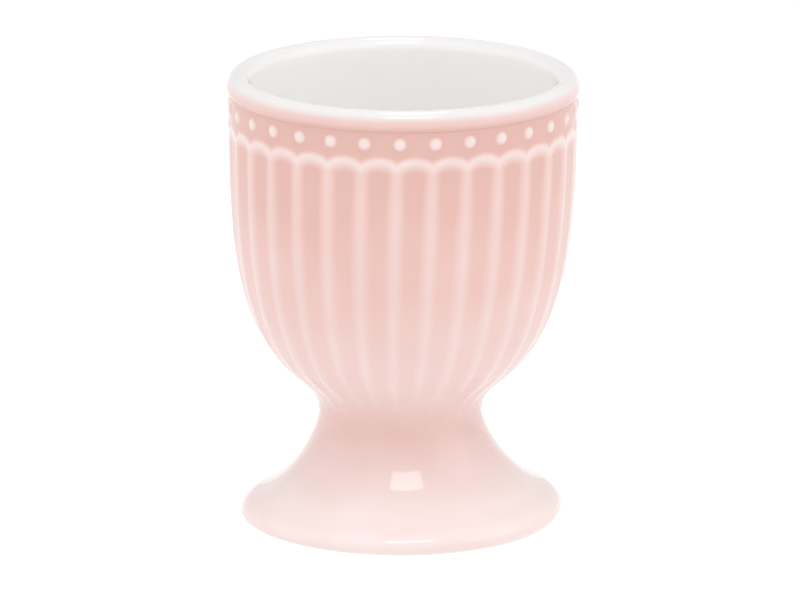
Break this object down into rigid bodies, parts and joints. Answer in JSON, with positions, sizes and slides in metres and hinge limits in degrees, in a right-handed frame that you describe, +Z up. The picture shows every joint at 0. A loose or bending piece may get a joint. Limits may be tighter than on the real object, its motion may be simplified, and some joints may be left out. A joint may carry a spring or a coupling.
{
  "type": "egg cup",
  "caption": "Footed stoneware egg cup with a fluted bowl, a beaded and scalloped border and a smooth hollow trumpet foot.",
  "frame": {"origin": "centre of the face the cup stands on", "axes": "+Z up along the cup's axis; the front bead, which the picture shows in the middle, faces -Y"},
  "size_m": [0.0498, 0.0498, 0.0645],
  "materials": {
    "pink_glaze": "glossy",
    "white_glaze": "glossy",
    "bare_stoneware": "matte"
  },
  "bodies": {
    "root": {"bowl": "pink_glaze", "flute_ribs": "pink_glaze", "scallop_border": "pink_glaze", "pearl_beads": "pink_glaze", "lip": "white_glaze", "white_lining": "white_glaze", "pedestal": "pink_glaze", "foot_ring": "bare_stoneware"}
  },
  "joints": []
}
